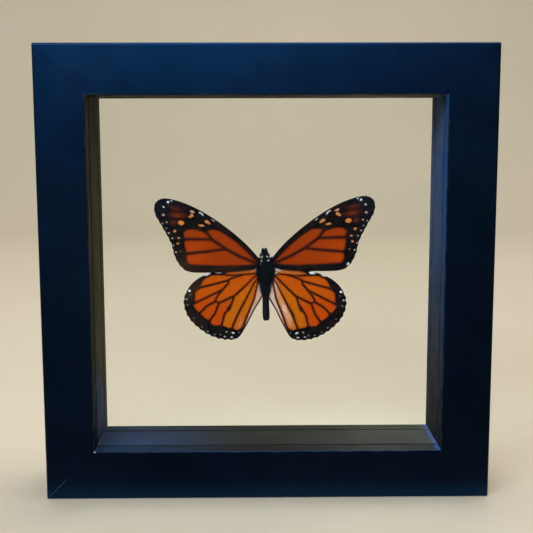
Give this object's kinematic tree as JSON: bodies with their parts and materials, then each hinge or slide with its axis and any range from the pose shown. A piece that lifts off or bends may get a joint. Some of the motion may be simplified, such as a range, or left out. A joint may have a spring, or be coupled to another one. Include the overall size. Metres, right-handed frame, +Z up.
{
  "type": "framed butterfly specimen",
  "caption": "Spread butterfly floating between panes of glass in a deep black wooden frame that stands on its edge.",
  "frame": {"origin": "middle of the frame's lower face, on the surface it stands on", "axes": "+Z up, +Y from the front of the frame to its back, +X to the right as seen from the front"},
  "size_m": [0.19, 0.038, 0.192],
  "materials": {
    "frame_paint": "satin black paint on wood",
    "inner_paint": "low sheen black paint on wood",
    "glass": "clear polished",
    "body_hair": "fine dark hair",
    "wing_scales": "matte wing scales",
    "adhesive": "clear, glossy"
  },
  "bodies": {
    "root": {"rail_top": "frame_paint", "rail_bottom": "frame_paint", "rail_left": "frame_paint", "rail_right": "frame_paint", "spacer_top": "inner_paint", "spacer_bottom": "inner_paint", "spacer_left": "inner_paint", "spacer_right": "inner_paint", "bead_top": "inner_paint", "bead_bottom": "inner_paint", "bead_left": "inner_paint", "bead_right": "inner_paint", "front_glass": "glass", "back_glass": "glass", "body": "body_hair", "forewing_left": "wing_scales", "forewing_right": "wing_scales", "hindwing_left": "wing_scales", "hindwing_right": "wing_scales", "glue_dot": "adhesive"}
  },
  "joints": []
}
